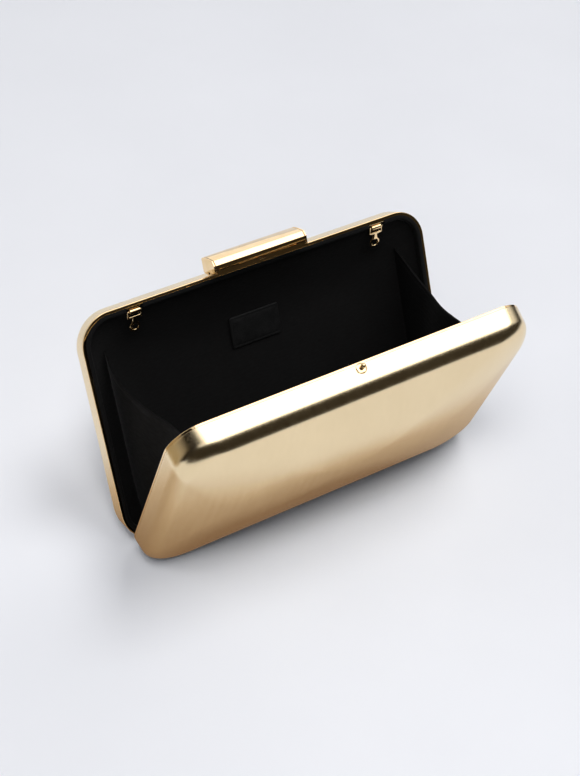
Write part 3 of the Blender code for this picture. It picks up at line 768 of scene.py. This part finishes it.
rear_own = knuckle_spans(0)
front_own = knuckle_spans(1)
make_case("rear", 1)
make_case("front", -1)
make_rim("rear", 1, rear_own, front_own)
make_rim("front", -1, front_own, rear_own)
front_lining = make_lining("front", -1)
rear_lining = make_lining("rear", 1)
cut_notches(rear_lining)
dress(front_lining, "front_half", "front_liner")
dress(rear_lining, "rear_half", "rear_liner")


# Side gussets
gusset_place = 0.0826
gusset_edge_shift = 0.0008
gusset_gap = 0.0002
gusset_low = 0.012
gusset_high = 0.0963
gusset_sag = 0.0068
gusset_sag_shift = 0.0102
gusset_fold = 0.0021
gusset_fold_shift = 0.0141
gusset_thickness = 0.0005
hem_thickness = 0.001
hem_width = 0.0035
hem_ramp = 0.0005
ripple_height = 0.0003
gusset_columns = 56
gusset_rows = 64


def gusset_point(side, across, share):
    """Give a point of a gusset's middle face; across runs from 1 at the rear to -1."""
    height = gusset_low + (gusset_high - gusset_low) * share
    depth = liner_face(gusset_place + gusset_edge_shift, height) - gusset_gap
    edge = depth * cos(lean) + height * sin(lean)
    up = hinge_height + height * cos(lean) - depth * sin(lean)
    slack = 1 - across ** 2
    ripple = ripple_height * share * slack * sin(9 * across + 2.2 * side + 3 * share)
    fold = (gusset_fold - gusset_fold_shift * across / 2) * slack
    sag = (gusset_sag + gusset_sag_shift * across / 2) * slack
    x = side * (gusset_place - fold * share + ripple)
    return Vector((x, edge * across, up - sag * share ** 2))


def gusset_layers(points):
    """Give the points of a gusset's two faces, which stand further apart along the hem."""
    rise = gusset_high - gusset_low
    layers = ([], [])
    for level, row in enumerate(points):
        below = points[max(level - 1, 0)]
        above = points[min(level + 1, gusset_rows)]
        share = level / gusset_rows
        hem = min(max((share * rise - rise + hem_width) / hem_ramp, 0), 1)
        half = (gusset_thickness + (hem_thickness - gusset_thickness) * hem) / 2
        reaches = []
        for step in range(gusset_columns + 1):
            along = row[min(step + 1, gusset_columns)] - row[max(step - 1, 0)]
            reaches.append(along.cross(above[step] - below[step]).normalized() * half)
        for layer, way in zip(layers, (1, -1)):
            layer.append([point + reach * way for point, reach in zip(row, reaches)])
    return layers


def grid_rim(grid):
    """Give the vertices round a grid, each once."""
    loop = grid[0][:]
    loop.extend(row[-1] for row in grid[1:])
    loop.extend(reversed(grid[-1][:-1]))
    loop.extend(row[0] for row in reversed(grid[1:-1]))
    return loop


def gusset_mesh(layers):
    """Skin a gusset's two faces and join them round their rims."""
    bm = bmesh.new()
    bm.verts.layers.float_vector.new("sheet")
    grids = []
    for layer in layers:
        grids.append(add_rows(bm, layer, [[point.yzx for point in row] for row in layer]))
    for grid in grids:
        for low, high in zip(grid, grid[1:]):
            bridge(bm, low, high, closed=False)
    bridge(bm, *(grid_rim(grid) for grid in grids))
    bmesh.ops.recalc_face_normals(bm, faces=bm.faces)
    return bm


def make_gusset(word, side):
    """Make a side gusset: a sheet with a hem at its top, slung between the linings."""
    points = []
    for level in range(gusset_rows + 1):
        places = (1 - 2 * step / gusset_columns for step in range(gusset_columns + 1))
        points.append([gusset_point(side, across, level / gusset_rows) for across in places])
    obj = mesh_object(f"{word}_gusset", gusset_mesh(gusset_layers(points)), gusset_cloth)
    obj.data.set_sharp_from_angle(angle=soft_crease)
    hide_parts(f"gusset_{word}")
    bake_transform(obj)


make_gusset("left", -1)
make_gusset("right", 1)


# Label patch
label_width = 0.028
label_height = 0.0165
label_thickness = 0.0008
label_crease_depth = 0.00008
label_middle = 0.0798
label_radius = 0.0011
label_least_radius = 0.0001
label_corner_steps = 6
# Inset from the border and lift, with a crease pressed in along the border
label_profile = (
    (0, 0),
    (0, 0.00045),
    (0.00012, 0.0007),
    (0.0004, label_thickness),
    (0.00105, label_thickness),
    (0.00125, label_thickness - label_crease_depth),
    (0.0014, label_thickness - label_crease_depth),
    (0.0016, label_thickness),
    (0.0035, 0.00083),
    (0.0065, 0.00085),
)


def make_label():
    """Make the bare leather patch, with rounded corners and a creased border."""
    near_low, near_high = (
        liner_face(0, label_middle + side * label_height / 2) for side in (-1, 1)
    )
    depth = (near_low + near_high) / 2 - clearance
    tilt = atan((near_low - near_high) / label_height)
    rows, sheet = [], []
    for inset, lift in label_profile:
        row, flat = [], []
        turn = max(label_radius - inset, label_least_radius)
        for quarter, (sx, sy) in enumerate(((1, 1), (-1, 1), (-1, -1), (1, -1))):
            cx = sx * (label_width / 2 - inset - turn)
            cy = sy * (label_height / 2 - inset - turn)
            for step in range(label_corner_steps + 1):
                angle = (quarter + step / label_corner_steps) * pi / 2
                u, v = cx + turn * cos(angle), cy + turn * sin(angle)
                spot_depth = depth - lift * cos(tilt) - v * sin(tilt)
                spot_height = label_middle + v * cos(tilt) - lift * sin(tilt)
                row.append(place(1, u, spot_depth, spot_height))
                flat.append(Vector((u, v, lift)))
        rows.append(row)
        sheet.append(flat)
    bm = skin(rows, sheet, fans=2)
    obj = mesh_object("label_leather_patch", bm, label_finish)
    obj.data.set_sharp_from_angle(angle=soft_crease)
    dress(obj, "rear_half", "label_patch")


make_label()


def plated(name, bm, matrix, crease, body, node):
    """Set a plated part in its place, in place of a CAD node."""
    bmesh.ops.transform(bm, matrix=matrix, verts=bm.verts)
    bmesh.ops.recalc_face_normals(bm, faces=bm.faces)
    obj = mesh_object(name, bm, plate_gold)
    obj.data.set_sharp_from_angle(angle=crease)
    dress(obj, body, node)


def cut_plate(name, outlines, thickness, rounding, matrix, body, node):
    """Make a plate from flat outlines, later ones as holes, with rounded edges."""
    weld_distance = 0.000002
    flat_angle = radians(0.5)
    curve = bpy.data.curves.new(name, "CURVE")
    curve.dimensions = "2D"
    curve.fill_mode = "BOTH"
    curve.extrude = thickness / 2 - rounding
    curve.bevel_depth = rounding
    curve.bevel_resolution = bevel_steps
    curve.offset = -rounding
    for points in outlines:
        spline = curve.splines.new("POLY")
        spline.points.add(len(points) - 1)
        for point, (across, up) in zip(spline.points, points):
            point.co = (across, up, 0, 1)
        spline.use_cyclic_u = True
    source = add_object(name, curve)
    mesh = evaluated_mesh(source)
    bpy.data.objects.remove(source, do_unlink=True)
    bm = bmesh.new()
    bm.from_mesh(mesh)
    bmesh.ops.remove_doubles(bm, verts=bm.verts, dist=weld_distance)
    bmesh.ops.dissolve_limit(bm, angle_limit=flat_angle, verts=bm.verts, edges=bm.edges)
    plated(name, bm, matrix, cut_crease, body, node)


def fillet(points, radius):
    """Round the corners of a closed outline that has none sharper than a right angle."""
    steps = 4
    longest_share = 1 / 2.2
    result = []
    count = len(points)
    for index in range(count):
        before, here, after = (Vector(points[(index + step) % count]) for step in (-1, 0, 1))
        one, two = (before - here), (after - here)
        reach = min(radius, one.length * longest_share, two.length * longest_share)
        start = here + one.normalized() * reach
        end = here + two.normalized() * reach
        for step in range(steps + 1):
            share = step / steps
            spot = start.lerp(here, share).lerp(here.lerp(end, share), share)
            result.append(tuple(spot))
    return result


def half_matrix(side):
    """Give the matrix from a half's frame (x, depth, height) to the world."""
    return Matrix((
        (1, 0, 0, 0),
        (0, side * cos(lean), side * sin(lean), 0),
        (0, -sin(lean), cos(lean), hinge_height),
        (0, 0, 0, 1),
    ))


# Stands a flat (depth, height) outline up across the case
stand_up = Matrix((
    (0, 0, 1, 0),
    (1, 0, 0, 0),
    (0, 1, 0, 0),
    (0, 0, 0, 1),
))
# Tilts what sits on a drafted top wall
top_tilt = Matrix.Rotation(-atan(top_draft), 4, "X")


# Clasp bar
bar_length = 0.0516
bar_front = 0.0062
bar_back = 0.0062
bar_height = 0.0083
bar_crown = 0.0003
bar_chamfer_run = 0.0016
bar_chamfer_drop = 0.0023
bar_wall = 0.0008
bar_corner_radius = 0.00022
cover_bottom = 0.0036
cover_rounding = 0.00008
cap_thickness = 0.0008
cap_rounding = 0.00015
cap_skirt_lift = 0.0004
lever_lift = 0.0018
base_front = 0.001
crown_steps = 6


def bar_outline(inset):
    """Give the bar's (depth, height) points, up the front and down the back."""
    front = inset - bar_front
    back = bar_back - inset
    top = bar_height - inset
    start, end = front + bar_chamfer_run, back - bar_wall
    points = [(front, top - bar_chamfer_drop), (start, top)]
    for step in range(1, crown_steps):
        share = step / crown_steps
        points.append((start + (end - start) * share, top + bar_crown * sin(pi * share)))
    points.extend([(end, top), (back, top - bar_wall)])
    return points


def make_clasp():
    """Make the faceted cover of the bar and its two end plates, with eased corners."""
    outer = [(-bar_front, cover_bottom), *bar_outline(0), (bar_back, cover_bottom)]
    inner = [
        (bar_back - bar_wall, cover_bottom),
        *bar_outline(bar_wall)[::-1],
        (bar_wall - bar_front, cover_bottom),
    ]
    length = bar_length - 2 * (cap_thickness + clearance)
    shape = fillet(outer, bar_corner_radius) + inner
    matrix = half_matrix(1) @ Matrix.Translation((0, 0, case_height)) @ stand_up
    cut_plate("bar_cover", [shape], length, cover_rounding, matrix, "clasp", "clasp_cover")
    cap = fillet([
        (-bar_front, lever_lift),
        *bar_outline(0),
        (bar_back, lever_lift - bar_wall),
        (bar_back - bar_wall, cap_skirt_lift),
        (base_front, cap_skirt_lift),
        (base_front, lever_lift),
    ], bar_corner_radius)
    for word, side in (("left", -1), ("right", 1)):
        x = side * (bar_length - cap_thickness) / 2
        matrix = half_matrix(1) @ Matrix.Translation((x, 0, case_height)) @ stand_up
        name, node = f"bar_end_{word}", f"clasp_cap_{word}"
        cut_plate(name, [cap], cap_thickness, cap_rounding, matrix, "clasp", node)


make_clasp()


def make_tab(word, x):
    """Make a strap tab: a square loop with rounded corners, a neck and a round eye."""
    top = tab_bar / 2
    loop_low = top - tab_loop_height
    shoulder = loop_low - tab_shoulder
    loop = fillet([
        (-tab_neck_half, shoulder), (-tab_loop_half, loop_low), (-tab_loop_half, top),
        (tab_loop_half, top), (tab_loop_half, loop_low), (tab_neck_half, shoulder),
    ], tab_corner_radius)
    neck_turn = asin(tab_neck_half / tab_eye_radius)
    eye = circle_points(tab_eye_radius, -tab_eye_drop, pi / 2 - neck_turn, 2 * (neck_turn - pi))
    window_half = tab_loop_half - tab_side_bar
    window_low = loop_low + tab_bar
    window = fillet([
        (-window_half, -top), (window_half, -top),
        (window_half, window_low), (-window_half, window_low),
    ], tab_window_radius)
    hole = circle_points(tab_hole_radius, -tab_eye_drop)[:-1]
    cut_plate(
        f"tab_plate_{word}", [loop + eye, window, hole], tab_thickness, tab_rounding,
        Matrix.Translation((x, *tab_axis_spot)) @ Matrix.Rotation(pi / 2, 4, "X"),
        f"tab_{word}", f"strap_tab_{word}",
    )


def make_clip(word, x):
    """Make a clip: a curl on a tail under the frame."""
    tail = clip_reach - tab_pivot_depth
    low = clip_curl_radius - clip_thickness
    curl = circle_points(clip_curl_radius, start=pi / 2, sweep=clip_curl_sweep, steps=44)
    shape = [(tail, clip_curl_radius), *curl, (clip_curl_radius, low), (tail, low)]
    bore = circle_points(clip_bore_radius, steps=36)[:-1]
    spot = Matrix.Translation((x, tab_pivot_depth, tab_pivot_height))
    matrix = half_matrix(1) @ spot @ top_tilt @ stand_up
    name, node = f"clip_{word}", f"tab_clip_{word}"
    cut_plate(name, [shape, bore], clip_width, clip_rounding, matrix, "rear_half", node)


for tab_word, tab_x in tab_places.items():
    make_tab(tab_word, tab_x)
    make_clip(tab_word, tab_x)


def lathe(name, profile, matrix, body, node):
    """Turn a closed profile of (radius, height) points about Z."""
    weld_distance = 0.000001
    rows = []
    for radius, height in profile:
        ring = circle_points(radius, steps=lathe_steps)[:-1]
        rows.append([Vector((*spot, height)) for spot in ring])
    bm = skin(rows, round_again=True)
    bmesh.ops.remove_doubles(bm, verts=bm.verts, dist=weld_distance)
    plated(name, bm, matrix, turned_crease, body, node)


# Ball stud and its dished washer
stud_depth = 0.00355
ball_radius = 0.00125
neck_radius = 0.0006
neck_height = 0.0004
neck_foot = 0.00015
collar_radius = 0.0011
collar_thickness = 0.00025
collar_chamfer = 0.0001
washer_thickness = 0.0004
axis_radius = 0.000001
ball_turn = 0.12
ball_steps = 22
# Radius and rise of the washer's dished top
washer_dish = (
    (0.0013, washer_thickness),
    (0.0015, 0.00038),
    (0.0021, 0.00022),
    (0.0025, 0.0001),
    (0.00265, 0.00004),
    (0.00265, 0),
)


def make_stud():
    """Make the ball stud and its washer on the front shell's top wall."""
    seat = clearance
    top = seat + washer_thickness
    collar_bottom = top + clearance / 2
    collar_top = collar_bottom + collar_thickness
    ball_middle = collar_top + neck_height + ball_radius
    spot = Matrix.Translation((0, stud_depth, case_height - top_draft * stud_depth))
    matrix = half_matrix(-1) @ spot @ top_tilt
    bore = neck_radius + clearance
    washer = [(bore, top), *((radius, seat + rise) for radius, rise in washer_dish), (bore, seat)]
    lathe("washer", washer, matrix, "front_half", "stud_washer")
    profile = []
    for step in range(ball_steps):
        angle = ball_turn * step
        radius = max(ball_radius * sin(angle), axis_radius)
        profile.append((radius, ball_middle + ball_radius * cos(angle)))
    profile.extend([
        (neck_radius, collar_top + neck_foot),
        (neck_radius, collar_top),
        (collar_radius - collar_chamfer, collar_top),
        (collar_radius, collar_top - collar_chamfer),
        (collar_radius, collar_bottom),
        (neck_radius, collar_bottom),
        (neck_radius, -lip_inset),
        (axis_radius, -lip_inset),
    ])
    lathe("ball_head", profile, matrix, "front_half", "ball_stud")


make_stud()


def finish_nodes(names, finish):
    """Give CAD nodes that keep their own solids a finish."""
    for name in names:
        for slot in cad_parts[name].material_slots:
            slot.material = finish


finish_nodes((
    "hinge_pin", "clasp_base", "clasp_pin", "clasp_rivet_left", "clasp_rivet_right",
    "clasp_lever", "tab_rivet_left", "tab_rivet_right",
), plate_gold)
finish_nodes(("clasp_spring",), steel)


# Floor, cards, lamps, world and camera
background = (0.815, 0.82, 0.85)
surround = (0.028, 0.033, 0.052)
floor_half = 6
floor_glow_start = 0.9
floor_glow_end = 1.7
lamp_distance = 3.4
patch_lift = 0.0002
black_tones = ((0.012, 0.010, 0.008), (0.022, 0.018, 0.014))
soft_black_tones = ((0.020, 0.016, 0.010), (0.032, 0.026, 0.017))
warm_tones = ((0.36, 0.30, 0.20), (0.42, 0.35, 0.24))
white_tones = ((0.98, 0.98, 0.98), (1, 1, 1))


def floor_finish():
    """Pale matt paper, which glows evenly far from the object, where the lamps fall off."""
    paint = Paint("floor_paper")
    cloud = paint.noise((9, 9, 9), 3.0, None)
    paint.colour(paint.span(cloud, 0, 1), dark=(0.793, 0.80, 0.83), light=(0.813, 0.82, 0.85))
    paint.set(Roughness=0.9, Specular_IOR_Level=0.1)
    glow = paint.node("Emission")
    fill(glow, Color=(*background, 1), Strength=1.0)
    far = paint.distance((1, 1, 1))
    share = paint.span(far, 0, 1, floor_glow_start, floor_glow_end, "SMOOTHSTEP")
    paper = paint.shader.outputs["BSDF"]
    return paint.show(paint.cover(paper, glow.outputs["Emission"], share))


def make_floor():
    """Make the pale floor."""
    bm = bmesh.new()
    bmesh.ops.create_grid(bm, x_segments=2, y_segments=2, size=floor_half)
    mesh_object("floor", bm, floor_finish())


def card_finish(name, tones, strength=1.0, fade=None):
    """Card of an even tone, which shows only in the gloss of the metal itself.

    fade gives the axis of the card and where along it the card is clear and full.
    """
    paint = Paint(name)
    mottle = paint.noise((5, 5, 5), 2.0, None)
    surface = paint.glow(paint.blend(paint.span(mottle, 0, 1), *tones), strength)
    if fade:
        axis, clear_at, full_at = fade
        along = paint.split(paint.sheet((1, 1, 1), None))[axis]
        surface = paint.faded(surface, paint.span(along, 0, 1, clear_at, full_at))
    return paint.show(surface)


def shade_finish(name, reach, inner, outer):
    """Soft patch that stands for shaded floor in the gloss of the metal."""
    paint = Paint(name)
    distance = paint.distance((1 / reach[0], 1 / reach[1], 1))
    tone = paint.span(distance, 0, 1, start=0.4, end=0.8)
    surface = paint.glow(paint.blend(tone, inner, outer), 1.0)
    return paint.show(paint.faded(surface, paint.span(distance, 1, 0, start=0.72, end=1.0)))


def make_card(name, size, location, target, finish):
    """Make a card that faces a target, and that only the gloss of the metal shows."""
    bm = bmesh.new()
    bmesh.ops.create_grid(bm, x_segments=2, y_segments=2, size=0.5)
    bmesh.ops.scale(bm, vec=(*size, 1), verts=bm.verts)
    card = mesh_object(name, bm, finish)
    facing = Vector(target) - Vector(location)
    card.rotation_euler = facing.to_track_quat("Z", "Y").to_euler()
    card.location = location
    for ray in ("camera", "diffuse", "shadow", "transmission"):
        setattr(card, f"visible_{ray}", False)


def make_patch(name, size, x, y, finish):
    """Lay a card just above the floor, facing up."""
    make_card(name, size, (x, y, patch_lift), (x, y, 1), finish)


def make_cards():
    """Make the cards that give the metal its bright and dark bands, and floor patches of painted
    shadow that only its gloss shows.
    """
    near_shade = shade_finish("near_shade", (0.19, 0.078), (0.24, 0.155, 0.095), (0.62, 0.52, 0.42))
    make_patch("floor_shade", (0.5, 0.4), -0.015, 0, near_shade)
    left_shade = shade_finish("left_shade", (0.12, 0.22), (0.42, 0.34, 0.23), (0.52, 0.44, 0.32))
    make_patch("left_floor_shade", (0.3, 0.5), -0.34, 0.1, left_shade)
    front = card_finish("front_black", soft_black_tones)
    make_card("front_card", (1.4, 0.25), (0.4, -0.215, 0.125), (0.4, 0, 0.125), front)
    right = card_finish("right_black", black_tones, fade=("Y", 0.13, -0.08))
    make_card("right_card", (0.7, 0.42), (0.62, 0.1, 0.23), (0, 0, 0.23), right)
    near_side = card_finish("side_black", black_tones, fade=("X", 0.35, 0.2))
    make_card("side_card", (0.7, 0.67), (-0.45, -0.295, 0.335), (0, -0.295, 0.335), near_side)
    left = card_finish("black_card", black_tones)
    make_card("left_card", (1.1, 0.9), (-0.95, -0.15, 1.35), (0, 0, 0.1), left)
    warm = card_finish("warm_card", warm_tones, fade=("X", -0.375, -0.275))
    make_card("low_left_card", (0.75, 0.3), (-0.34, 0.275, 0.15), (0, 0.275, 0.15), warm)
    overhead = card_finish("soft_box", white_tones, strength=2.6)
    make_card("soft_box", (2.5, 2.1), (1.0, -0.68, 1.9), (1.0, -0.68, 0), overhead)
    back = card_finish("back_panel", white_tones, strength=1.1)
    make_card("back_panel", (3.0, 1.0), (0.6, 2.0, 0.5), (0, 0, 0.2), back)


def floor_lamp(name, azimuth, elevation, size, share):
    """Make a lamp that gives the floor a share of its light and stays out of the gloss."""
    turn, rise = radians(azimuth), radians(elevation)
    away = Vector((cos(rise) * cos(turn), cos(rise) * sin(turn), sin(rise))) * lamp_distance
    data = bpy.data.lights.new(name, "AREA")
    data.shape = "RECTANGLE"
    data.size, data.size_y = size
    data.energy = share * pi ** 2 * lamp_distance ** 2 / sin(rise)
    lamp = add_object(name, data)
    lamp.location = away
    lamp.rotation_euler = (-away).to_track_quat("-Z", "Y").to_euler()
    lamp.visible_glossy = False


def make_lamps():
    """Make the lamps, whose shares follow the floor shadows in the photograph."""
    floor_lamp("camera_side_lamp", 235, 61, (1.2, 1.5), 0.48)
    floor_lamp("low_camera_side_lamp", 231, 28, (1.05, 1.85), 0.06)
    floor_lamp("overhead_lamp", 330, 71, (1.85, 1.05), 0.41)
    floor_lamp("right_lamp", 22, 16, (2.0, 0.9), 0.08)
    floor_lamp("back_left_lamp", 150, 34, (1.7, 1.1), 0.06)


def make_world():
    """Make a dark surround, and the pale background that the camera sees."""
    world = bpy.data.worlds.new("surround")
    world.use_nodes = True
    tree = world.node_tree
    back = tree.nodes["Background"]
    path = tree.nodes.new("ShaderNodeLightPath")
    mix = tree.nodes.new("ShaderNodeMix")
    mix.data_type = "RGBA"
    fill(mix, A=(*surround, 1), B=(*background, 1))
    seen = path.outputs["Is Camera Ray"]
    for ray in ("Is Glossy Ray", "Is Transmission Ray"):
        seen = maths(tree, "MAXIMUM", seen, path.outputs[ray])
    tree.links.new(first_sight(tree, seen), mix.inputs["Factor"])
    tree.links.new(mix.outputs["Result"], back.inputs["Color"])
    bpy.context.scene.world = world


def make_camera():
    """Make the camera at the photograph's place."""
    data = bpy.data.cameras.new("camera")
    data.lens = 75.11
    data.sensor_width = 36
    data.clip_start = 0.01
    camera = add_object("camera", data)
    right = Vector((0.84707, -0.53053, 0.03175))
    down = Vector((-0.32735, -0.56788, -0.75522))
    forward = Vector((0.41870, 0.62932, -0.65470))
    spot = Vector((-0.332389, -0.489526, 0.575570))
    turn = Matrix((right, -down, -forward)).transposed().to_4x4()
    camera.matrix_world = Matrix.Translation(spot) @ turn
    bpy.context.scene.camera = camera


make_floor()
make_cards()
make_lamps()
make_world()
make_camera()
bpy.context.scene.view_settings.view_transform = "Standard"
